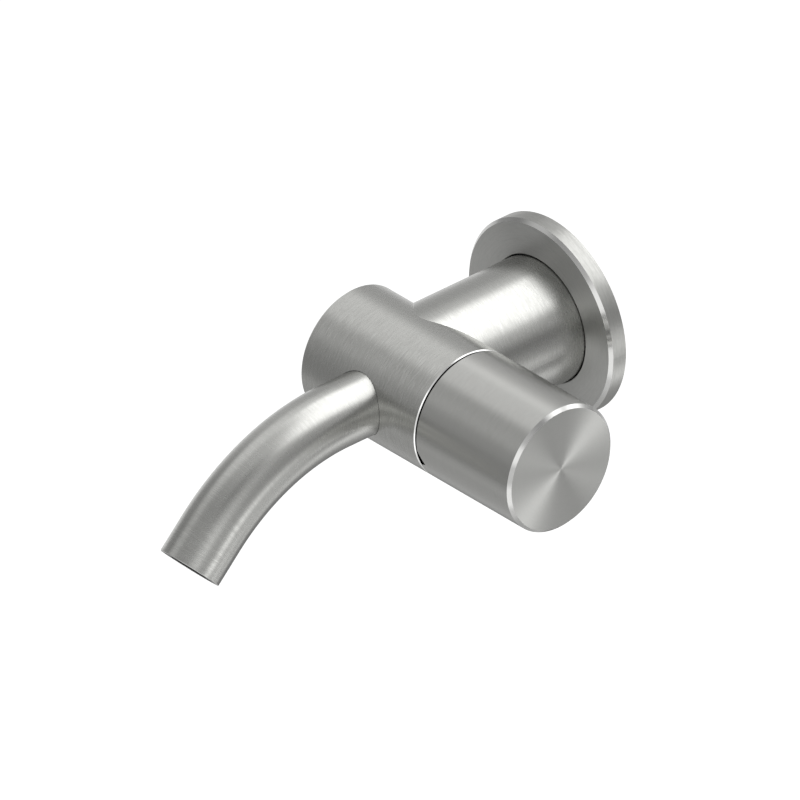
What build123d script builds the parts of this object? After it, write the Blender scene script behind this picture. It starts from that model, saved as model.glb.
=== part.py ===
from build123d import *
from math import cos, radians, sin, sqrt, tan
import os

# Wall mounted basin mixer tap with one turned knob and a short bent spout.
# Millimetres. Origin: centre of the wall face. The wall is the plane Y = 0 and the tap
# stands out along -Y. X runs along the barrel towards the knob, and Z is up.

# Clearances between pieces that fit together
slip = 0.1  # pushed together by hand, each side
close_fit = 0.05  # located or turning, each side
ring_gap = 0.04  # between a seal ring and the wall it closes on

# Barrel and arm: one welded body
wall_to_axis = 57.5  # wall face to the barrel's axis
barrel_d = 41.0
barrel_left = 25.0  # arm axis to the closed end
barrel_right = 25.25  # arm axis to the open end, beside the knob
barrel_wall = 2.5
barrel_end_wall = 4.0
barrel_end_chamfer = 1.0
barrel_rim_chamfer = 0.3
arm_d = 40.0
arm_wall = 2.5

# Rosette on the wall
rosette_d = 63.0
rosette_depth = 6.0
rosette_face_t = 2.2
rosette_rim_t = 1.5
rosette_chamfer = 1.0
rosette_hole_gap = 0.3  # around the arm
rosette_hole_chamfer = 0.2
rosette_ring_section = 1.1
rosette_groove_w = 1.25

# Wall manifold: screwed flange, spigot for the arm, two supply inlets
flange_gap = 2.5  # between the flange's edge and the rosette's rim
flange_t = 3.6
flange_edge_chamfer = 0.5
spigot_end = 30.0  # distance from the wall
screw_edge = 4.5  # flange edge to the screws' middle
screw_count = 3
screw_hole_d = 4.4
screw_sink_d = 8.4
inlet_z = 9.0  # height of each inlet above or below the arm's axis
inlet_bore_r = 4.46  # M10 x 1 thread, minor radius
inlet_depth = 11.0
inlet_chamfer = 0.6
passage_r = 3.0

# Supply tubes inside the arm
tube_d = 8.0
tube_wall = 1.0
tube_x = -4.0
tube_z = 5.6
tube_wall_depth = 6.0  # length inside the manifold
tube_housing_depth = 7.5  # length inside the housing
socket_spare = 0.5
tube_ring_section = 1.0
tube_groove_w = 1.3

# Lock screws
arm_screw_d = 5.0
arm_screw_length = 3.0
arm_screw_from_wall = 14.0
arm_screw_inset = 0.4
arm_screw_key = 2.5
knob_screw_d = 2.5
knob_screw_key = 1.3
screw_seat_depth = 0.5  # flat recess that a screw bears in
key_share = 0.45  # share of a screw's length taken by its key socket

# Ceramic cartridge, stacked from the chamber's floor towards the knob
chamber_r = 12.5
chamber_floor_wall = 2.0
port_seal_t = 1.6
fixed_disc_t = 3.5
moving_disc_t = 4.0
spindle_flange_t = 3.0
glide_t = 0.6
cartridge_top_wall = 2.3
clamp_flange_t = 2.5
clamp_flange_r = 16.0
cartridge_skirt_wall = 1.9
skirt_lift = 0.4
neck_r = 9.9
neck_inset = 0.3  # neck's end behind the barrel's rim
nut_inset = 0.5
nut_notch_w = 3.0
nut_notch_depth = 1.8
nut_notch_count = 6
cartridge_ring_section = 1.0
cartridge_groove_w = 1.3

# Disc ports, in degrees from the arm side, positive upwards
port_r = 7.1
port_w = 3.8
port_start = 27.0
port_span = 24.0
centre_port_r = 2.8
lobe_span = 18.0
closed_angle = -94.0  # direction of the moving disc's lobe when shut
lobe_depth = 2.0
key_w = 4.0
key_height = 0.9
drive_lug_w = 3.0
drive_lug_depth = 1.5
drive_lug_r = 6.6

# Spindle and its stop
knob_travel = 120.0
spindle_r = 5.0
spindle_flange_r = 8.2
stop_lug_height = 2.0
stop_lug_span = 20.0
stop_lug_angle = 100.0
stop_slack = 0.5  # degrees left at each end of the travel
spindle_ring_section = 1.2
spindle_groove_w = 1.5
spline_r = 4.6
spline_teeth = 20
spline_tooth_depth = 0.45
spline_length = 13.0

# Knob
knob_gap = 0.75  # between barrel and knob
knob_length = 40.6
knob_wall = 2.5
knob_end_wall = 4.0
knob_end_chamfer = 1.0
hub_gap = 0.1
hub_boss_r = 9.0
hub_plate_start = 12.5  # from the hub's inner end
hub_plate_t = 7.0
hub_screw_edge = 0.2
notch_angle = 112.4  # place of the grub screw and its key notch, from the top to the front
notch_low = 0.6  # deepest point of the notch, below the screw
notch_depth = 2.1
notch_ramp = 5.2  # slope above the deepest point
notch_return = 1.2  # short slope below it

# Spout and aerator
spout_d = 20.0
spout_wall = 1.5
spout_straight = 29.0  # barrel axis to the start of the bend
spout_bend_r = 69.5
spout_bend_angle = 45.0
spout_tip = 11.8
spout_mouth_chamfer = 0.15
spout_floor_wall = 0.9
spout_seal_t = 1.2
outlet_x = -4.5
outlet_r = 3.5
aerator_recess = 0.1  # behind the spout's mouth
aerator_length = 9.0
aerator_wall = 1.1
aerator_lip = 1.0
insert_t = 2.6
insert_hole_d = 1.9
insert_pitch = 2.5
aerator_washer_t = 1.4

# Worked out from the values above
barrel_r = barrel_d / 2
barrel_bore_r = barrel_r - barrel_wall
arm_r = arm_d / 2
arm_bore_r = arm_r - arm_wall
spout_r = spout_d / 2
tube_r = tube_d / 2
flange_r = rosette_d / 2 - rosette_rim_t - flange_gap
screw_circle_r = flange_r - screw_edge
cavity_left = barrel_end_wall - barrel_left
housing_r = barrel_bore_r - slip
housing_left = cavity_left + slip
chamber_floor = tube_x + tube_r + chamber_floor_wall
fixed_disc_x = chamber_floor + port_seal_t
moving_disc_x = fixed_disc_x + fixed_disc_t
spindle_flange_x = moving_disc_x + moving_disc_t
glide_x = spindle_flange_x + spindle_flange_t
cartridge_top_x = glide_x + glide_t
clamp_x = cartridge_top_x + cartridge_top_wall
nut_left = clamp_x + clamp_flange_t
nut_right = barrel_right - nut_inset
neck_right = barrel_right - neck_inset
hub_left = barrel_right + hub_gap
knob_left = barrel_right + knob_gap
knob_right = knob_left + knob_length
cartridge_r = chamber_r - slip
skirt_bore_r = cartridge_r - cartridge_skirt_wall
disc_r = skirt_bore_r - slip
moving_disc_r = disc_r - 6 * slip
supply_y = sqrt(port_r**2 - tube_z**2)  # the ports lie on the disc's port circle
knob_screw_x = hub_left + hub_screw_edge + knob_screw_d / 2
spout_tail = chamber_r + spout_floor_wall + spout_seal_t


def turned(profile):
    """Solid of revolution about X from (distance along X, radius) points."""
    return revolve(make_face(Polyline(*profile, close=True)), Axis.X)


def rod(radius, start, end):
    """Cylinder along X."""
    return turned([(start, 0), (end, 0), (end, radius), (start, radius)])


def tube(outer, inner, start, end):
    """Plain ring or tube along X."""
    return turned([(start, inner), (end, inner), (end, outer), (start, outer)])


def ring(middle_r, section, place):
    """Seal ring around X. Its section has eight sides, flat where it is squeezed."""
    h = section / 2
    q = h * tan(radians(22.5))
    corners = [(h, q), (q, h), (-q, h), (-h, q), (-h, -q), (-q, -h), (q, -h), (h, -q)]
    return turned([(place + x, middle_r + y) for x, y in corners])


def slab(sketch, start, end):
    """Sketch in the Y-Z plane, drawn out along X."""
    return extrude(Plane.YZ.offset(start) * sketch, amount=end - start)


def on_barrel(shape):
    """From X through the origin to the barrel's axis."""
    return Pos(0, -wall_to_axis, 0) * shape


def on_arm(shape):
    """Turn X into the distance from the wall, and Y into the tap's X."""
    return Rot(0, 0, -90) * shape


def from_barrel(shape):
    """As on_arm, with distances counted from the barrel's axis towards the basin."""
    return Pos(0, -wall_to_axis, 0) * on_arm(shape)


def towards_wall(shape):
    """Distances counted from the barrel's axis towards the wall."""
    return Pos(0, -wall_to_axis, 0) * Rot(0, 0, 90) * shape


def polar(radius, angle):
    return (radius * cos(radians(angle)), radius * sin(radians(angle)))


def kidney(radius, width, middle, span):
    """Curved slot around the centre of a disc, with round ends."""
    return SlotArc(CenterArc((0, 0), radius, middle - span / 2, span), width)


def sector(radius, start, span):
    """Slice of a disc, from one angle on."""
    steps = 4
    far = [polar(2 * radius, start + span * i / steps) for i in range(steps + 1)]
    return Circle(radius) & make_face(Polyline((0, 0), *far, close=True))


def socket_screw(diameter, length, key):
    """Headless screw along X with a hexagon key socket at its far end."""
    point = diameter / 6
    r = diameter / 2
    body = turned([(0, 0), (length, 0), (length, r), (point, r), (0, r - point)])
    hexagon = RegularPolygon(key / 2, 6, major_radius=False)
    return body - slab(hexagon, length * (1 - key_share), length)


# Body

def barrel_solid():
    c, e = barrel_end_chamfer, barrel_rim_chamfer
    return on_barrel(turned([
        (-barrel_left, 0), (barrel_right, 0), (barrel_right, barrel_r - e), (barrel_right - e, barrel_r),
        (c - barrel_left, barrel_r), (-barrel_left, barrel_r - c),
    ]))


def tap_body():
    arm = on_arm(rod(arm_r, flange_t, wall_to_axis))
    body = barrel_solid() + arm
    body -= on_barrel(rod(barrel_bore_r, cavity_left, barrel_right))
    body -= on_arm(rod(arm_bore_r, flange_t, wall_to_axis))
    body -= from_barrel(rod(spout_r + slip, 0, barrel_r))
    body -= on_arm(arm_screw_place() * rod(arm_screw_d / 2, 0, arm_r))
    return body


# Lock screw of the arm: it points up from below

def arm_screw_place():
    return Pos(arm_screw_from_wall, 0, 0) * Rot(0, 90, 0)


def arm_lock_screw():
    start = arm_r - arm_screw_inset - arm_screw_length
    screw = socket_screw(arm_screw_d, arm_screw_length, arm_screw_key)
    return on_arm(arm_screw_place() * Pos(start, 0, 0) * screw)


# Wall side

def wall_manifold():
    spigot_r = arm_bore_r - slip
    c = flange_edge_chamfer
    body = turned([
        (0, 0), (0, flange_r), (flange_t - c, flange_r), (flange_t, flange_r - c), (flange_t, spigot_r),
        (spigot_end - c, spigot_r), (spigot_end, spigot_r - c), (spigot_end, 0),
    ])
    for spot in screw_spots():
        sink = (screw_sink_d - screw_hole_d) / 2
        body -= spot * rod(screw_hole_d / 2, 0, flange_t)
        body -= spot * turned([(flange_t - sink, 0), (flange_t, 0), (flange_t, screw_sink_d / 2),
                               (flange_t - sink, screw_hole_d / 2)])
    for side in (1, -1):
        body -= inlet_passage(side)
    seat = arm_r - arm_screw_inset - arm_screw_length
    body -= arm_screw_place() * rod(arm_screw_d / 2 + slip, seat - close_fit, arm_r)
    return on_arm(body)


def screw_spots():
    for i in range(screw_count):
        y, z = polar(screw_circle_r, 90 + 360 * i / screw_count)
        yield Pos(0, y, z)


def inlet_passage(side):
    """Threaded inlet, sloping passage and tube socket with its ring groove."""
    c = inlet_chamfer
    r = inlet_bore_r
    inlet = turned([(0, 0), (inlet_depth, 0), (inlet_depth, r), (c, r), (0, r + c)])
    start = Vector(inlet_depth, 0, side * inlet_z)
    socket_floor = spigot_end - tube_wall_depth - socket_spare
    end = Vector(socket_floor, tube_x, side * tube_z)
    slope = Plane(origin=start, z_dir=end - start)
    sloping = slope * Pos(0, 0, (end - start).length / 2) * Cylinder(passage_r, (end - start).length)
    ends = [Pos(*p) * Sphere(passage_r) for p in (start, end)]
    socket = rod(tube_r + close_fit, socket_floor, spigot_end)
    groove = rod(tube_ring_outer() + ring_gap, *tube_groove_span(spigot_end - tube_wall_depth / 2))
    seat = Pos(0, tube_x, side * tube_z) * (socket + groove)
    return Pos(0, 0, side * inlet_z) * inlet + sloping + ends[0] + ends[1] + seat


def tube_ring_outer():
    return tube_r + ring_gap + tube_ring_section


def tube_groove_span(middle):
    return (middle - tube_groove_w / 2, middle + tube_groove_w / 2)


def wall_rosette():
    r, c, e = rosette_d / 2, rosette_chamfer, rosette_hole_chamfer
    hole = arm_r + rosette_hole_gap
    back = rosette_depth - rosette_face_t
    groove_r = arm_r + ring_gap + rosette_ring_section + ring_gap
    g0, g1 = rosette_groove_span()
    return on_arm(turned([
        (0, r), (rosette_depth - c, r), (rosette_depth, r - c), (rosette_depth, hole + e),
        (rosette_depth - e, hole), (g1, hole), (g1, groove_r), (g0, groove_r), (g0, hole), (back, hole),
        (back, r - rosette_rim_t), (0, r - rosette_rim_t),
    ]))


def rosette_groove_span():
    middle = rosette_depth - rosette_face_t / 2
    return (middle - rosette_groove_w / 2, middle + rosette_groove_w / 2)


def rosette_o_ring():
    middle_r = arm_r + ring_gap + rosette_ring_section / 2
    return on_arm(ring(middle_r, rosette_ring_section, rosette_depth - rosette_face_t / 2))


# Supply tubes

def housing_socket_floor():
    return wall_to_axis - supply_tube_end() - socket_spare


def supply_tube_end():
    """Distance from the wall to the tube's end in the housing."""
    return wall_to_axis - sqrt(housing_r**2 - tube_z**2) + tube_housing_depth


def supply_tube(side):
    start = spigot_end - tube_wall_depth
    return on_arm(Pos(0, tube_x, side * tube_z) * tube(tube_r, tube_r - tube_wall, start, supply_tube_end()))


def tube_o_ring(side, distance):
    middle_r = tube_r + ring_gap + tube_ring_section / 2
    return on_arm(Pos(0, tube_x, side * tube_z) * ring(middle_r, tube_ring_section, distance))


def housing_ring_place():
    return supply_tube_end() - tube_housing_depth / 3


# Housing in the barrel

def supply_channel(side):
    """Tube socket, its groove and the channel that turns into the cartridge's port."""
    floor = housing_socket_floor()
    socket = rod(tube_r + close_fit, floor, barrel_r)
    middle = wall_to_axis - housing_ring_place()
    groove = rod(tube_ring_outer() + ring_gap, *tube_groove_span(middle))
    # towards_wall turns Y into minus X, so the tube's place changes sign here
    bores = socket + groove + rod(passage_r, supply_y, floor)
    inward = towards_wall(Pos(0, -tube_x, side * tube_z) * bores)
    along = on_barrel(Pos(0, supply_y, side * tube_z) * rod(centre_port_r, tube_x, chamber_floor))
    return inward + along


def cartridge_housing():
    body = rod(housing_r, housing_left, clamp_x) - rod(chamber_r, chamber_floor, clamp_x)
    body -= rod(centre_port_r, outlet_x, chamber_floor)
    body = on_barrel(body)
    for side in (1, -1):
        body -= supply_channel(side)
    socket_floor = chamber_r + spout_floor_wall
    body -= from_barrel(rod(spout_r + close_fit, socket_floor, barrel_r))
    body -= from_barrel(Pos(0, outlet_x, 0) * rod(outlet_r, 0, socket_floor))
    return body


# Cartridge

def port_holes(radius):
    """The three round ports: outlet in the middle, supplies above and below."""
    supplies = [Pos(supply_y, side * tube_z) * Circle(radius) for side in (1, -1)]
    return Circle(radius) + supplies


def port_seal():
    return on_barrel(slab(Circle(disc_r) - port_holes(centre_port_r), chamber_floor, fixed_disc_x))


def disc_keys(extra):
    """Two ears that keep the fixed disc from turning."""
    reach = skirt_bore_r + key_height + extra
    return Rectangle(key_w + 2 * extra, 2 * reach) & Circle(reach)


def fixed_disc():
    middle = port_start + port_span / 2
    face = Circle(disc_r) + disc_keys(0) - Circle(centre_port_r)
    for side in (1, -1):
        face -= kidney(port_r, port_w, side * middle, port_span)
    return on_barrel(slab(face, fixed_disc_x, moving_disc_x))


def drive_lugs(extra, start, end):
    """Two blocks that join the spindle's flange to the moving disc."""
    side = drive_lug_w + 2 * extra
    spots = [Rot(0, 0, closed_angle + turn) * Pos(drive_lug_r, 0) for turn in (90, 270)]
    return slab(Sketch() + [spot * Rectangle(side, side) for spot in spots], start, end)


def moving_disc():
    disc = rod(moving_disc_r, moving_disc_x, spindle_flange_x)
    lobe = kidney(port_r, port_w, closed_angle, lobe_span)
    bridge = Rot(0, 0, closed_angle) * Pos(port_r / 2, 0) * Rectangle(port_r, port_w)
    hollow = Circle(centre_port_r) + lobe + bridge
    disc -= slab(hollow, moving_disc_x, moving_disc_x + lobe_depth)
    disc -= drive_lugs(close_fit, spindle_flange_x - drive_lug_depth - slip, spindle_flange_x)
    return on_barrel(disc)


def cartridge_body():
    r, neck = cartridge_r, neck_r
    start = chamber_floor + skirt_lift
    ring_pocket = spindle_flange_x + 2 * slip
    bore = spindle_r + close_fit
    stop_r = spindle_flange_r + 2 * slip
    g0, g1 = cartridge_groove_span()
    groove_r = chamber_r - ring_gap - cartridge_ring_section - ring_gap
    body = turned([
        (start, skirt_bore_r), (ring_pocket, skirt_bore_r), (ring_pocket, stop_r), (cartridge_top_x, stop_r),
        (cartridge_top_x, bore), (neck_right, bore), (neck_right, neck), (nut_left, neck),
        (nut_left, clamp_flange_r), (clamp_x, clamp_flange_r), (clamp_x, r), (g1, r), (g1, groove_r),
        (g0, groove_r), (g0, r), (start, r),
    ])
    body -= slab(disc_keys(slip), start, moving_disc_x + slip)
    slack = stop_slack + stop_lug_span / 2
    pocket_r = spindle_flange_r + stop_lug_height + slip
    pocket = sector(pocket_r, stop_lug_angle - slack, knob_travel + 2 * slack)
    body -= slab(pocket, ring_pocket, glide_x + slip)
    return on_barrel(body)


def cartridge_groove_span():
    middle = (moving_disc_x + spindle_flange_x) / 2
    return (middle - cartridge_groove_w / 2, middle + cartridge_groove_w / 2)


def cartridge_o_ring():
    middle_r = chamber_r - ring_gap - cartridge_ring_section / 2
    return on_barrel(ring(middle_r, cartridge_ring_section, (moving_disc_x + spindle_flange_x) / 2))


def glide_washer():
    return on_barrel(tube(spindle_flange_r, spindle_r + slip, glide_x, cartridge_top_x))


def cartridge_nut():
    outer = barrel_bore_r - close_fit
    nut = tube(outer, neck_r + slip, nut_left, nut_right)
    for i in range(nut_notch_count):
        notch = Rot(0, 0, 360 * i / nut_notch_count) * Pos(outer, 0) * Rectangle(2 * nut_notch_w, nut_notch_w)
        nut -= slab(notch, nut_right - nut_notch_depth, nut_right)
    return on_barrel(nut)


# Spindle

def spline_face(extra):
    """Toothed section of the spindle's end, grown by a clearance."""
    valley = spline_r - spline_tooth_depth + extra
    crest = spline_r + extra
    half = 360 / spline_teeth / 2
    teeth = []
    for i in range(spline_teeth):
        angle = 2 * half * i
        points = [polar(valley, angle - half), polar(crest, angle - half / 3), polar(crest, angle + half / 3)]
        teeth += points
    return make_face(Polyline(*teeth, close=True))


def spindle_ring_place():
    return (clamp_x + nut_left) / 2


def spindle():
    r, f = spindle_r, spindle_flange_r
    groove_r = r - spindle_ring_section
    middle = spindle_ring_place()
    g0, g1 = middle - spindle_groove_w / 2, middle + spindle_groove_w / 2
    spline_start = knob_screw_x + knob_screw_d
    body = turned([
        (spindle_flange_x, 0), (spindle_flange_x, f), (glide_x, f), (glide_x, r), (g0, r), (g0, groove_r),
        (g1, groove_r), (g1, r), (spline_start, r), (spline_start, 0),
    ])
    body += slab(spline_face(0), spline_start, spline_start + spline_length)
    lug = sector(f + stop_lug_height, stop_lug_angle - stop_lug_span / 2, stop_lug_span)
    body += slab(lug, spindle_flange_x + 2 * slip + slip, glide_x)
    body += drive_lugs(0, spindle_flange_x - drive_lug_depth, spindle_flange_x)
    body -= notch_direction() * rod(knob_screw_d / 2 + slip, r - screw_seat_depth, r + 1)
    return on_barrel(body)


def spindle_o_ring():
    section = spindle_ring_section - ring_gap
    return on_barrel(ring(spindle_r - section / 2, section, spindle_ring_place()))


# Knob

def notch_direction():
    """Turns X outwards through the notch, at the grub screw's place along the knob."""
    return Pos(knob_screw_x, 0, 0) * Rot(90 + notch_angle, 0, 0) * Rot(0, 0, 90)


def key_notch():
    """Ramped notch through the knob's rim, for the key of the grub screw."""
    start = barrel_right
    bottom = -notch_low - notch_return
    top = notch_ramp - notch_low
    face = make_face(Polyline(
        (start, bottom), (knob_left, bottom), (knob_left + notch_depth, -notch_low), (knob_left, top),
        (start, top), close=True))
    cutter = extrude(face, amount=barrel_d)
    return Rot(notch_angle, 0, 0) * cutter


def knob_shell():
    r, c = barrel_r, knob_end_chamfer
    inner = r - knob_wall
    cup = turned([
        (knob_left, inner), (knob_left, r), (knob_right - c, r), (knob_right, r - c), (knob_right, 0),
        (knob_right - knob_end_wall, 0), (knob_right - knob_end_wall, inner),
    ])
    return on_barrel(cup - key_notch())


def knob_hub():
    plate_r = barrel_r - knob_wall - close_fit
    start = hub_left + hub_plate_start
    end = start + hub_plate_t
    spline_start = knob_screw_x + knob_screw_d
    hub = turned([
        (hub_left, spindle_r + close_fit), (hub_left, hub_boss_r), (start, hub_boss_r), (start, plate_r),
        (end, plate_r), (end, 0), (spline_start, 0), (spline_start, spindle_r + close_fit),
    ])
    hub -= slab(spline_face(close_fit), spline_start, spline_start + spline_length + slip)
    hub -= notch_direction() * rod(knob_screw_d / 2, 0, hub_boss_r)
    return on_barrel(hub)


def knob_grub_screw():
    start = spindle_r - screw_seat_depth
    length = hub_boss_r - start - screw_seat_depth
    screw = socket_screw(knob_screw_d, length, knob_screw_key)
    return on_barrel(notch_direction() * Pos(start, 0, 0) * screw)


# Spout

def spout_path(start):
    bend = radians(spout_bend_angle)
    p0 = (-wall_to_axis - start, 0)
    p1 = (-wall_to_axis - spout_straight, 0)
    p2 = (p1[0] - spout_bend_r * sin(bend), -spout_bend_r * (1 - cos(bend)))
    p3 = (p2[0] - spout_tip * cos(bend), p2[1] - spout_tip * sin(bend))
    line = Line(p0, p1) + TangentArc(p1, p2, tangent=(-1, 0)) + Line(p2, p3)
    return Wire((Plane.YZ * line).edges())


def spout_tube():
    path = spout_path(spout_tail)
    end = Plane(origin=path @ 0, z_dir=path % 0)
    bent = sweep(end * Circle(spout_r), path=path) - sweep(end * Circle(spout_r - spout_wall), path=path)
    c = spout_mouth_chamfer
    edge = turned([(-c, spout_r - 2 * c), (2 * c, spout_r + c), (-c, spout_r + c)])
    return bent - from_tip(edge)


def spout_seal():
    floor = chamber_r + spout_floor_wall
    return from_barrel(tube(spout_r, spout_r - spout_wall, floor, spout_tail))


def from_tip(shape):
    """X counted inwards from the spout's mouth."""
    path = spout_path(spout_tail)
    mouth = Plane(origin=path @ 1, x_dir=-(path % 1), z_dir=(1, 0, 0))
    return mouth.location * shape


def aerator_housing():
    outer = spout_r - spout_wall - close_fit
    inner = outer - aerator_wall
    start, end = aerator_recess, aerator_recess + aerator_length
    return from_tip(turned([
        (start, inner - aerator_lip), (start, outer), (end, outer), (end, inner),
        (start + aerator_lip, inner), (start + aerator_lip, inner - aerator_lip),
    ]))


def aerator_insert():
    r = spout_r - spout_wall - close_fit - aerator_wall - close_fit
    holes = HexLocations(insert_pitch / 2, 5, 5)
    spots = [spot for spot in holes if spot.position.length < r - aerator_lip - insert_hole_d / 2]
    face = Circle(r) - [spot * Circle(insert_hole_d / 2) for spot in spots]
    start = aerator_recess + aerator_lip
    return from_tip(slab(face, start, start + insert_t))


def aerator_washer():
    outer = spout_r - spout_wall - close_fit
    start = aerator_recess + aerator_length
    return from_tip(tube(outer, outer - 2 * aerator_wall, start, start + aerator_washer_t))


def pieces():
    wall_ring = spigot_end - tube_wall_depth / 2
    return {
        "tap_body": tap_body(),
        "arm_lock_screw": arm_lock_screw(),
        "wall_manifold": wall_manifold(),
        "wall_rosette": wall_rosette(),
        "rosette_o_ring": rosette_o_ring(),
        "hot_supply_tube": supply_tube(1),
        "cold_supply_tube": supply_tube(-1),
        "hot_tube_wall_o_ring": tube_o_ring(1, wall_ring),
        "hot_tube_housing_o_ring": tube_o_ring(1, housing_ring_place()),
        "cold_tube_wall_o_ring": tube_o_ring(-1, wall_ring),
        "cold_tube_housing_o_ring": tube_o_ring(-1, housing_ring_place()),
        "cartridge_housing": cartridge_housing(),
        "port_seal": port_seal(),
        "fixed_ceramic_disc": fixed_disc(),
        "moving_ceramic_disc": moving_disc(),
        "cartridge_body": cartridge_body(),
        "cartridge_o_ring": cartridge_o_ring(),
        "glide_washer": glide_washer(),
        "cartridge_nut": cartridge_nut(),
        "spindle": spindle(),
        "spindle_o_ring": spindle_o_ring(),
        "knob_shell": knob_shell(),
        "knob_hub": knob_hub(),
        "knob_grub_screw": knob_grub_screw(),
        "spout_tube": spout_tube(),
        "spout_seal": spout_seal(),
        "aerator_housing": aerator_housing(),
        "aerator_insert": aerator_insert(),
        "aerator_washer": aerator_washer(),
    }


os.makedirs("parts", exist_ok=True)
for name, shape in pieces().items():
    export_step(shape, "parts/" + name + ".step")
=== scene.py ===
import bpy
from math import cos, pi, radians, sin
from mathutils import Matrix, Vector


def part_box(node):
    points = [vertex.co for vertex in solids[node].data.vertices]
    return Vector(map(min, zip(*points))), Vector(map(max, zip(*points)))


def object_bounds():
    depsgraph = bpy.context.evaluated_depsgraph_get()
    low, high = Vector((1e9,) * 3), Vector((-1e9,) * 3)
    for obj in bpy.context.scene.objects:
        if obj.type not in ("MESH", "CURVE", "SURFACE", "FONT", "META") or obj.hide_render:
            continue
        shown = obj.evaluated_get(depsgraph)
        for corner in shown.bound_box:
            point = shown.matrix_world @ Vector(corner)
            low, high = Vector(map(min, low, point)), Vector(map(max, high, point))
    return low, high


# Looks of a wall mounted basin tap in brushed stainless steel. Metres; the wall is the
# plane Y = 0, the tap stands out along -Y, X runs along the barrel and Z is up.

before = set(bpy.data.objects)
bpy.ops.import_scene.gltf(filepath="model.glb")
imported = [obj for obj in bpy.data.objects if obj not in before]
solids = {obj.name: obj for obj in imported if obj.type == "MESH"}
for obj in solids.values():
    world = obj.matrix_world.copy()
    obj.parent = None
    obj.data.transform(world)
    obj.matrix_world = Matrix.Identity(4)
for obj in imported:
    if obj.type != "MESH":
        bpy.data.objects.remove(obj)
cad_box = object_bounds()

mm = 0.001
X_AXIS, Y_AXIS = Vector((1, 0, 0)), Vector((0, 1, 0))

# Camera, as the photograph was taken: parallel view, in degrees and millimetres
view_azimuth = 47.866
view_elevation = 31.665
view_width = 234.3
view_right = -2.4405  # where the picture's middle lies from the barrel's middle
view_up = -5.6416
view_distance = 900.0

# Bend of the spout and threads of the two inlets, as in the solids, in millimetres and degrees
spout_straight = 29.0
spout_bend_r = 69.5
spout_bend_angle = 45.0
inlet_from_middle = 9.0
inlet_r = 4.46
inlet_pitch = 1.0


def middle(node):
    lo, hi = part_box(node)
    return (lo + hi) / 2


def size(node):
    lo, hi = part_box(node)
    return hi - lo


barrel_r = size("knob_shell").z / 2
barrel_middle = Vector((0, middle("knob_shell").y, 0))
arm_middle = Vector((0, 0, 0))

# The narrow gap between barrel and knob lies between these places on the barrel's axis; painted shade
# covers the barrel's end beyond the first and the knob's edge before the second
gap_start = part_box("tap_body")[1].x - 0.05 * mm
gap_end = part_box("knob_shell")[0].x + 0.15 * mm


class Nodes:
    """Short ways to build a node tree."""

    def __init__(self, owner):
        owner.use_nodes = True
        self.tree = owner.node_tree
        self.tree.nodes.clear()

    def add(self, kind, **settings):
        node = self.tree.nodes.new(kind)
        for key, value in settings.items():
            setattr(node, key, value)
        return node

    def fill(self, socket, value):
        if isinstance(value, bpy.types.NodeSocket):
            self.tree.links.new(value, socket)
        else:
            socket.default_value = value

    def math(self, operation, *values):
        node = self.add("ShaderNodeMath", operation=operation)
        for socket, value in zip(node.inputs, values):
            self.fill(socket, value)
        return node.outputs[0]

    def vector(self, operation, *values):
        node = self.add("ShaderNodeVectorMath", operation=operation)
        for socket, value in zip(node.inputs, values):
            self.fill(socket, value)
        return node.outputs["Value" if operation in ("DOT_PRODUCT", "LENGTH") else "Vector"]

    def scaled(self, vector, factor):
        node = self.add("ShaderNodeVectorMath", operation="SCALE")
        self.fill(node.inputs["Vector"], vector)
        self.fill(node.inputs["Scale"], factor)
        return node.outputs["Vector"]

    def split(self, vector):
        return self.add_with("ShaderNodeSeparateXYZ", vector).outputs

    def joined(self, x, y, z):
        return self.add_with("ShaderNodeCombineXYZ", x, y, z).outputs["Vector"]

    def add_with(self, kind, *values):
        node = self.add(kind)
        for socket, value in zip(node.inputs, values):
            self.fill(socket, value)
        return node

    def noise(self, vector, detail, roughness):
        node = self.add("ShaderNodeTexNoise")
        self.fill(node.inputs["Vector"], vector)
        node.inputs["Scale"].default_value = 1.0
        node.inputs["Detail"].default_value = detail
        node.inputs["Roughness"].default_value = roughness
        return node.outputs["Fac"]

    def span(self, value, low, high, to_low=0.0, to_high=1.0):
        """Value from low to high, spread over another range and held at its ends."""
        node = self.add("ShaderNodeMapRange", interpolation_type="SMOOTHSTEP")
        for socket, item in zip(node.inputs, (value, low, high, to_low, to_high)):
            self.fill(socket, item)
        return node.outputs["Result"]

    def mix(self, factor, first, second):
        node = self.add("ShaderNodeMix", data_type="RGBA")
        self.fill(node.inputs["Factor"], factor)
        self.fill(node.inputs["A"], first)
        self.fill(node.inputs["B"], second)
        return node.outputs["Result"]

    def mix_value(self, factor, first, second):
        node = self.add("ShaderNodeMix", data_type="FLOAT")
        self.fill(node.inputs["Factor"], factor)
        self.fill(node.inputs["A"], first)
        self.fill(node.inputs["B"], second)
        return node.outputs["Result"]

    def mix_vector(self, factor, first, second):
        node = self.add("ShaderNodeMix", data_type="VECTOR")
        self.fill(node.inputs["Factor"], factor)
        self.fill(node.inputs["A"], first)
        self.fill(node.inputs["B"], second)
        return node.outputs["Result"]

    def bump(self, height, distance):
        node = self.add("ShaderNodeBump")
        node.inputs["Strength"].default_value = 1.0
        node.inputs["Distance"].default_value = distance
        self.fill(node.inputs["Height"], height)
        return node.outputs["Normal"]


class Look(Nodes):
    """A material of one principled surface."""

    def __init__(self, name):
        self.material = bpy.data.materials.new(name)
        super().__init__(self.material)
        self.shader = self.add("ShaderNodeBsdfPrincipled")
        output = self.add("ShaderNodeOutputMaterial")
        self.fill(output.inputs["Surface"], self.shader.outputs["BSDF"])
        geometry = self.add("ShaderNodeNewGeometry")
        self.position = geometry.outputs["Position"]
        self.normal = geometry.outputs["Normal"]
        self.local = self.add("ShaderNodeTexCoord").outputs["Object"]

    def set(self, name, value):
        self.fill(self.shader.inputs[name], value)


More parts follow.
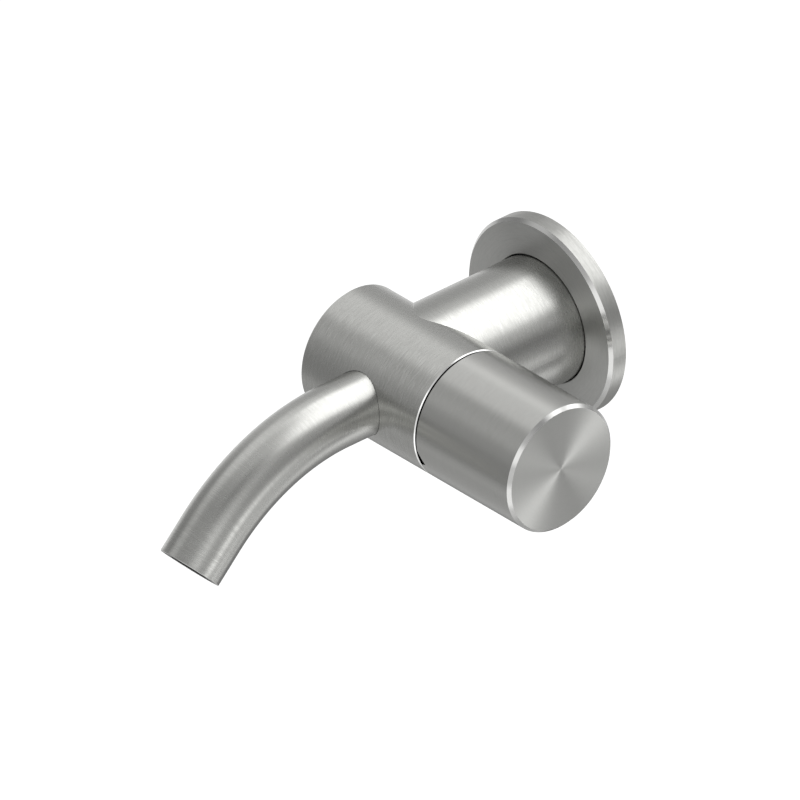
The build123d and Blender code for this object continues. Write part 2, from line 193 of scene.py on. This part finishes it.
# Lines on the metal. Each kind gives a tangent, the surface's tilt towards the axis (0 on its
# side, 1 on an end face), and the streaks' strength where that changes along the piece.

spout_streaks_grow = (35.0, 85.0)  # places along the spout in millimetres
spout_streaks_strength = (0.6, 1.9)  # before the first place and after the second


class Turned:
    """Lines that run round an axis, as a lathe or a brushing machine leaves them."""

    streaks = None

    def __init__(self, look, axis, centre):
        self.look = look
        offset = look.vector("SUBTRACT", look.local, centre)
        self.along = look.vector("DOT_PRODUCT", offset, axis)
        self.across = look.vector("SUBTRACT", offset, look.scaled(axis, self.along))
        self.radius = look.vector("LENGTH", self.across)
        self.axis = axis
        placed = look.vector("SUBTRACT", look.position, centre)
        circle = look.vector("CROSS_PRODUCT", axis, placed)
        self.tangent = look.vector("CROSS_PRODUCT", look.normal, circle)
        self.tilt = look.math("ABSOLUTE", look.vector("DOT_PRODUCT", look.normal, axis))

    def coordinates(self, fine, coarse):
        """Pattern space: fine cycles across the lines and coarse cycles along them, per metre."""
        profile = self.look.math("ADD", self.along, self.radius)
        lines = self.look.scaled(self.axis, self.look.math("MULTIPLY", profile, fine))
        return self.look.vector("ADD", lines, self.look.scaled(self.across, coarse))


class AlongSpout:
    """Lines that run round the spout's bent axis."""

    def __init__(self, look):
        self.look = look
        turn = radians(spout_bend_angle)
        bend_r = spout_bend_r * mm
        centre = barrel_middle - Vector((0, spout_straight * mm, bend_r))
        x, y, z = look.split(look.vector("SUBTRACT", look.local, centre))
        out = look.math("MULTIPLY", y, -1.0)
        angle = look.math("ARCTAN2", out, z)
        angle = look.math("MINIMUM", look.math("MAXIMUM", angle, 0.0), turn)
        c, s = look.math("COSINE", angle), look.math("SINE", angle)
        down = look.math("MULTIPLY", z, -sin(turn))
        tip = look.math("ADD", look.math("MULTIPLY", out, cos(turn)), down)
        before = look.math("MINIMUM", out, 0.0)
        beyond = look.math("MAXIMUM", tip, 0.0)
        straight = look.math("ADD", before, beyond)
        self.length = look.math("ADD", look.math("MULTIPLY", angle, bend_r), straight)
        height = look.math("ADD", look.math("MULTIPLY", out, s), look.math("MULTIPLY", z, c))
        self.height = look.math("SUBTRACT", height, bend_r)
        self.x = x
        start, end = (place * mm for place in spout_streaks_grow)
        self.streaks = look.span(self.length, start, end, *spout_streaks_strength)
        minus_s = look.math("MULTIPLY", s, -1.0)
        self.tangent = look.joined(0.0, look.math("MULTIPLY", c, -1.0), minus_s)
        self.tilt = look.math("ABSOLUTE", look.vector("DOT_PRODUCT", look.normal, self.tangent))

    def coordinates(self, fine, coarse):
        look = self.look
        x = look.math("MULTIPLY", self.x, coarse)
        lines = look.math("MULTIPLY", self.length, fine)
        height = look.math("MULTIPLY", self.height, coarse)
        return look.joined(x, lines, height)


class ArmAndBarrel:
    """Lines round the barrel, and round the arm outside the barrel."""

    streaks = None

    def __init__(self, look):
        self.look = look
        self.barrel = Turned(look, X_AXIS, barrel_middle)
        self.arm = Turned(look, Y_AXIS, arm_middle)
        outside = barrel_r + 0.03 * mm
        self.on_arm = look.math("GREATER_THAN", self.barrel.radius, outside)
        self.tangent = look.mix_vector(self.on_arm, self.barrel.tangent, self.arm.tangent)
        self.tilt = look.mix_value(self.on_arm, self.barrel.tilt, self.arm.tilt)

    def coordinates(self, fine, coarse):
        first, second = (part.coordinates(fine, coarse) for part in (self.barrel, self.arm))
        return self.look.mix_vector(self.on_arm, first, second)


# Metal

steel_light = (0.485, 0.486, 0.470, 1)
steel_dark = (0.365, 0.366, 0.351, 1)
chamfer_colour = (0.51, 0.51, 0.50, 1)
chamfer_roughness = 0.16
rim_colour = (0.74, 0.74, 0.73, 1)  # the barrel's narrow edge beside the knob
end_colour = (0.40, 0.402, 0.39, 1)
end_roughness = 0.42  # turned end faces, whose grooves spread light towards the rim
# painted shade: near black laid on surfaces in the narrow gap between barrel and knob
painted_shade_colour = (0.006, 0.006, 0.006, 1)
brass_colour = (0.60, 0.45, 0.23, 1)

# Brush lines: cycles per metre across and along them, detail and roughness of their noise, and
# their share of the pattern
brush_lines = {
    "fine": (2900, 260, 3.0, 0.6, 0.5),
    "medium": (1300, 110, 2.0, 0.5, 0.2),
    "flecks": (3400, 700, 2.0, 0.6, 0.3),
}
pattern_reach = 0.3  # how far from its mean the noise has gone where a line is fully light or dark
rough_change = 0.03  # light lines are smoother by this, dark ones rougher
chamfer_tilt = 0.3  # a surface tilted more than this is a chamfer
end_tilt = 0.95  # and one tilted more than this is an end face
tone_low, tone_high = 0.3, 0.7  # where plainer noises are fully dark or light


def brush_noise(look, lines):
    total = 0.0
    for across, along, detail, roughness, share in brush_lines.values():
        noise = look.noise(lines.coordinates(across, along), detail, roughness)
        total = look.math("ADD", total, look.math("MULTIPLY", noise, share))
    return total


def brushed_steel(name, lines_of, roughness=0.28, spread=0.5, contrast=1.0, line_depth=1.0e-6,
                  painted_shade_mask=None, edge_colour=chamfer_colour):
    """Steel brushed round its axis, with brighter turned chamfers, and painted shade where a mask is
    given.
    """
    look = Look(name)
    lines = lines_of(look)
    brushed = brush_noise(look, lines)
    if lines.streaks:
        from_mean = look.math("SUBTRACT", brushed, 0.5)
        brushed = look.math("ADD", look.math("MULTIPLY", from_mean, lines.streaks), 0.5)
    reach = pattern_reach / contrast
    pattern = look.span(brushed, 0.5 - reach, 0.5 + reach)
    end = look.math("GREATER_THAN", lines.tilt, end_tilt)
    chamfer = look.math("MULTIPLY", look.math("GREATER_THAN", lines.tilt, chamfer_tilt),
                        look.math("LESS_THAN", lines.tilt, end_tilt))
    colour = look.mix(pattern, steel_dark, steel_light)
    colour = look.mix(end, colour, look.mix(pattern, steel_light, end_colour))
    colour = look.mix(chamfer, colour, edge_colour)
    if painted_shade_mask:
        # Painted shade: where the mask is one, the colour becomes near black
        colour = look.mix(painted_shade_mask(look, lines), colour, painted_shade_colour)
    rough = look.span(pattern, 0.0, 1.0, roughness + rough_change, roughness - rough_change)
    rough = look.mix_value(end, rough, end_roughness)
    not_chamfer = look.math("SUBTRACT", 1.0, chamfer)
    look.set("Base Color", colour)
    look.set("Metallic", 1.0)
    look.set("Roughness", look.mix_value(chamfer, rough, chamfer_roughness))
    look.set("Anisotropic", spread)
    look.set("Tangent", lines.tangent)
    look.set("Normal", look.bump(look.math("MULTIPLY", brushed, not_chamfer), line_depth))
    return look.material


def gap_painted_shade(look, lines):
    """Painted shade: marks the barrel's end face under the knob, painted near black for the dark of the
    narrow gap.
    """
    x = look.split(look.local)[0]
    end = look.math("GREATER_THAN", x, gap_start)
    return look.math("MULTIPLY", end, look.math("GREATER_THAN", lines.tilt, end_tilt))


def knob_rim_painted_shade(look, lines):
    """Painted shade: marks the knob's edge on the other side of the gap, painted near black as if shaded
    by the gap.
    """
    return look.math("LESS_THAN", look.split(look.local)[0], gap_end)


def darker(colour, share):
    return tuple(share * part for part in colour[:3]) + (1,)


def plain_look(name, colour, roughness, metallic=0.0):
    """Fine grained surface: colour, roughness and relief vary a little with one noise."""
    grains_per_metre = 900
    depth = 4.0e-6
    look = Look(name)
    grains = look.noise(look.scaled(look.local, grains_per_metre), 3.0, 0.6)
    tone = look.span(grains, tone_low, tone_high)
    rough = look.span(grains, tone_low, tone_high, roughness + 0.05, roughness - 0.05)
    look.set("Base Color", look.mix(tone, darker(colour, 0.9), colour))
    look.set("Metallic", metallic)
    look.set("Roughness", rough)
    look.set("Normal", look.bump(grains, depth))
    return look.material


def machined(name, colour, roughness, lines_of, threads=()):
    """Turned metal: fine rings round an axis, and threads in the named holes."""
    thread_depth = 4.0e-4
    ring_share = 0.01  # of the threads' depth
    look = Look(name)
    lines = lines_of(look)
    rings = look.noise(lines.coordinates(3500, 60), 2.0, 0.5)
    tone = look.span(rings, tone_low, tone_high)
    look.set("Base Color", look.mix(tone, darker(colour, 0.86), colour))
    look.set("Metallic", 1.0)
    look.set("Roughness", look.span(tone, 0.0, 1.0, roughness + 0.05, roughness - 0.05))
    height = look.math("MULTIPLY", rings, ring_share)
    for centre, axis, radius, pitch in threads:
        hole = Turned(look, axis, centre)
        inside = look.math("LESS_THAN", hole.radius, radius + 0.1 * mm)
        inside = look.math("MULTIPLY", inside, look.math("LESS_THAN", hole.tilt, chamfer_tilt))
        turns = look.math("PINGPONG", look.math("DIVIDE", hole.along, pitch), 0.5)
        height = look.math("ADD", height, look.math("MULTIPLY", inside, turns))
    look.set("Normal", look.bump(height, thread_depth))
    return look.material


def around(axis, centre):
    return lambda look: Turned(look, axis, centre)


def dress(material, *names):
    for name in names:
        mesh = solids[name].data
        if not mesh.materials:
            mesh.materials.append(material)
        for i in range(len(mesh.materials)):
            mesh.materials[i] = material


around_barrel = around(X_AXIS, barrel_middle)
around_arm = around(Y_AXIS, arm_middle)
seals = [name for name in solids if "ring" in name or "seal" in name]
inlets = [
    (Vector((0, 0, height * mm)), Y_AXIS, inlet_r * mm, inlet_pitch * mm)
    for height in (inlet_from_middle, -inlet_from_middle)
]

dress(brushed_steel("brushed_body", ArmAndBarrel, painted_shade_mask=gap_painted_shade, edge_colour=rim_colour), "tap_body")
dress(brushed_steel("brushed_spout", AlongSpout), "spout_tube")
dress(brushed_steel("turned_rosette", around_arm, roughness=0.36, spread=0.9), "wall_rosette")
dress(brushed_steel("satin_knob", around_barrel, roughness=0.24, spread=0.9, contrast=0.3,
                    line_depth=0.3e-6, painted_shade_mask=knob_rim_painted_shade), "knob_shell")
dress(brushed_steel("drawn_tube", around_arm), "hot_supply_tube", "cold_supply_tube")
dress(plain_look("screw_steel", (0.35, 0.35, 0.35, 1), 0.35, 1.0), "arm_lock_screw", "knob_grub_screw")
dress(machined("turned_brass", brass_colour, 0.3, around_arm, inlets), "wall_manifold")
dress(machined("brass", brass_colour, 0.3, around_barrel), "cartridge_housing", "cartridge_body",
      "cartridge_nut", "spindle", "knob_hub")
dress(plain_look("rubber", (0.02, 0.02, 0.02, 1), 0.6), *seals, "aerator_washer")
dress(plain_look("ceramic", (0.85, 0.84, 0.81, 1), 0.25), "fixed_ceramic_disc", "moving_ceramic_disc")
dress(plain_look("white_plastic", (0.8, 0.8, 0.79, 1), 0.45), "glide_washer")
dress(plain_look("aerator_plastic", (0.03, 0.03, 0.03, 1), 0.45), "aerator_housing", "aerator_insert")


# Studio

floor_height = -450.0
floor_reach = 12.0  # metres from its middle to each side
floor_colour = (0.86, 0.86, 0.86, 1)
floor_lift = 0.65  # extra white that the camera sees
room_light = 0.45  # world light on matt surfaces
wall_white = 1.0  # the studio's walls and floor, as metal reflects them

# Soft light panels and grey flats round the tap: direction (azimuth from the wall towards the
# knob, elevation), half width, half height and soft edge in degrees, and how much lighter
# or darker than the white walls
panels = {
    "back_high": (15, 59, 30, 18, 7, 2.5),
    "back_middle": (10, 27, 24, 10, 8, 2.2),
    "left_high": (285, 56, 24, 16, 8, 0.5),
    "low_back": (29, -21, 9, 9, 6, 1.8),
    "low_right": (65, -46, 9, 9, 6, 2.4),
    "right": (78, -10, 8, 8, 6, 1.2),
    "front_right": (140, 15, 26, 12, 6, 1.0),
    "front_floor": (138, -36, 12, 14, 6, 0.6),
    "dark_right_high": (100, 58, 20, 14, 8, -0.45),
    "dark_right": (48, -1, 16, 16, 8, -0.7),
    "dark_right_side": (78, 24, 16, 16, 8, -0.4),
    "dark_corner": (46, -34, 10, 8, 5, -0.8),
    "dark_back": (355, -6, 18, 12, 8, -0.35),
    "dark_back_left": (320, 12, 20, 20, 10, -0.3),
    "dark_left": (262, 15, 16, 20, 10, -0.45),
    "dark_front": (222, 10, 28, 14, 10, -0.4),
    "dark_front_low": (222, -16, 28, 14, 10, -0.6),
    "dark_front_high": (175, 55, 30, 14, 10, -0.45),
    "dark_floor_left": (245, -48, 30, 16, 10, -0.4),
    "dark_floor_back": (335, -44, 28, 18, 8, -0.7),
    "dark_below": (0, -85, 25, 20, 10, -0.35),
}

# Lamp over the tap that throws its soft shadow: direction, width, height, distance, brightness
key_lamp = (14, 60, 1100, 1100, 1100, 1.6)


def direction(azimuth, elevation):
    a, e = radians(azimuth), radians(elevation)
    return Vector((sin(a) * cos(e), cos(a) * cos(e), sin(e)))


def facing(azimuth, elevation, distance):
    """Place on a sphere round the tap, with local -Z pointing at it."""
    target = (cad_box[0] + cad_box[1]) / 2
    out = direction(azimuth, elevation)
    turn = out.to_track_quat("Z", "Y").to_matrix().to_4x4()
    return Matrix.Translation(target + out * distance * mm) @ turn


def panel_share(nodes, towards, azimuth, elevation, half_w, half_h, edge):
    """One inside a panel and zero outside, by direction."""
    turn = direction(azimuth, elevation).to_track_quat("Z", "Y").to_matrix()
    sides = [nodes.vector("DOT_PRODUCT", towards, turn.col[i]) for i in range(3)]
    shares = []
    for side, half in ((sides[0], half_w), (sides[1], half_h)):
        angle = nodes.math("ARCTAN2", nodes.math("ABSOLUTE", side), sides[2])
        shares.append(nodes.span(angle, radians(half - edge), radians(half + edge), 1.0, 0.0))
    return nodes.math("MULTIPLY", *shares)


def studio_level(nodes, towards):
    """Brightness of the studio as metal reflects it, by direction."""
    total = wall_white
    for azimuth, elevation, half_w, half_h, edge, extra in panels.values():
        share = panel_share(nodes, towards, azimuth, elevation, half_w, half_h, edge)
        total = nodes.math("ADD", total, nodes.math("MULTIPLY", share, extra))
    return nodes.math("MAXIMUM", total, 0.0)


def softbox(name, azimuth, elevation, width, height, distance, brightness):
    lamp = bpy.data.lights.new(name, "AREA")
    lamp.shape = "RECTANGLE"
    lamp.size = width * mm
    lamp.size_y = height * mm
    # An area lamp of P watts shows a radiance of P / (pi * area)
    lamp.energy = brightness * pi * lamp.size * lamp.size_y
    thing = bpy.data.objects.new(name, lamp)
    bpy.context.scene.collection.objects.link(thing)
    thing.matrix_world = facing(azimuth, elevation, distance)
    thing.visible_camera = False
    thing.visible_glossy = False


def make_world():
    """White for the camera, the studio's panels for metal, and an even light on matt surfaces."""
    world = bpy.data.worlds.new("white_studio")
    bpy.context.scene.world = world
    world.cycles.sampling_method = "NONE"  # smooth enough to be found by the surfaces' own rays
    nodes = Nodes(world)
    path = nodes.add("ShaderNodeLightPath").outputs
    towards = nodes.add("ShaderNodeTexCoord").outputs["Generated"]
    shown = nodes.math("MAXIMUM", path["Is Camera Ray"], path["Is Transmission Ray"])
    level = nodes.mix_value(shown, room_light, 1.0)
    level = nodes.mix_value(path["Is Glossy Ray"], level, studio_level(nodes, towards))
    glow = nodes.add("ShaderNodeBackground")
    nodes.fill(glow.inputs["Strength"], level)
    output = nodes.add("ShaderNodeOutputWorld")
    nodes.fill(output.inputs["Surface"], glow.outputs["Background"])


def make_floor():
    """Pale floor that keeps the tap's shadow, and that metal sees as part of the studio."""
    far = floor_reach
    mesh = bpy.data.meshes.new("floor")
    mesh.from_pydata([(-far, -far, 0), (far, -far, 0), (far, far, 0), (-far, far, 0)], [], [(0, 1, 2, 3)])
    floor = bpy.data.objects.new("floor", mesh)
    bpy.context.scene.collection.objects.link(floor)
    floor.location.z = floor_height * mm
    material = bpy.data.materials.new("pale_floor")
    nodes = Nodes(material)
    path = nodes.add("ShaderNodeLightPath").outputs
    shown = nodes.math("MAXIMUM", path["Is Camera Ray"], path["Is Transmission Ray"])
    paint = nodes.add("ShaderNodeBsdfDiffuse")
    paint.inputs["Color"].default_value = floor_colour
    lift = nodes.add("ShaderNodeEmission")
    nodes.fill(lift.inputs["Strength"], nodes.math("MULTIPLY", shown, floor_lift))
    seen = nodes.add_with("ShaderNodeAddShader", paint.outputs[0], lift.outputs[0]).outputs[0]
    place = nodes.add("ShaderNodeNewGeometry").outputs["Position"]
    towards = nodes.vector("NORMALIZE", nodes.vector("SUBTRACT", place, barrel_middle))
    reflected = nodes.add("ShaderNodeEmission")
    nodes.fill(reflected.inputs["Strength"], studio_level(nodes, towards))
    choice = nodes.add_with("ShaderNodeMixShader", path["Is Glossy Ray"], seen, reflected.outputs[0])
    output = nodes.add("ShaderNodeOutputMaterial")
    nodes.fill(output.inputs["Surface"], choice.outputs[0])
    floor.data.materials.append(material)


def make_camera():
    data = bpy.data.cameras.new("camera")
    data.type = "ORTHO"
    data.ortho_scale = view_width * mm
    data.clip_end = 20
    camera = bpy.data.objects.new("camera", data)
    bpy.context.scene.collection.objects.link(camera)
    back = direction(180 - view_azimuth, view_elevation)
    right = Vector((cos(radians(view_azimuth)), sin(radians(view_azimuth)), 0))
    up = back.cross(right)
    place = barrel_middle + (view_right * right + view_up * up + view_distance * back) * mm
    turn = Matrix((right, up, back)).transposed().to_4x4()
    camera.matrix_world = Matrix.Translation(place) @ turn
    bpy.context.scene.camera = camera


make_camera()
make_world()
make_floor()
softbox("key_lamp", *key_lamp)
bpy.context.scene.view_settings.view_transform = "Standard"
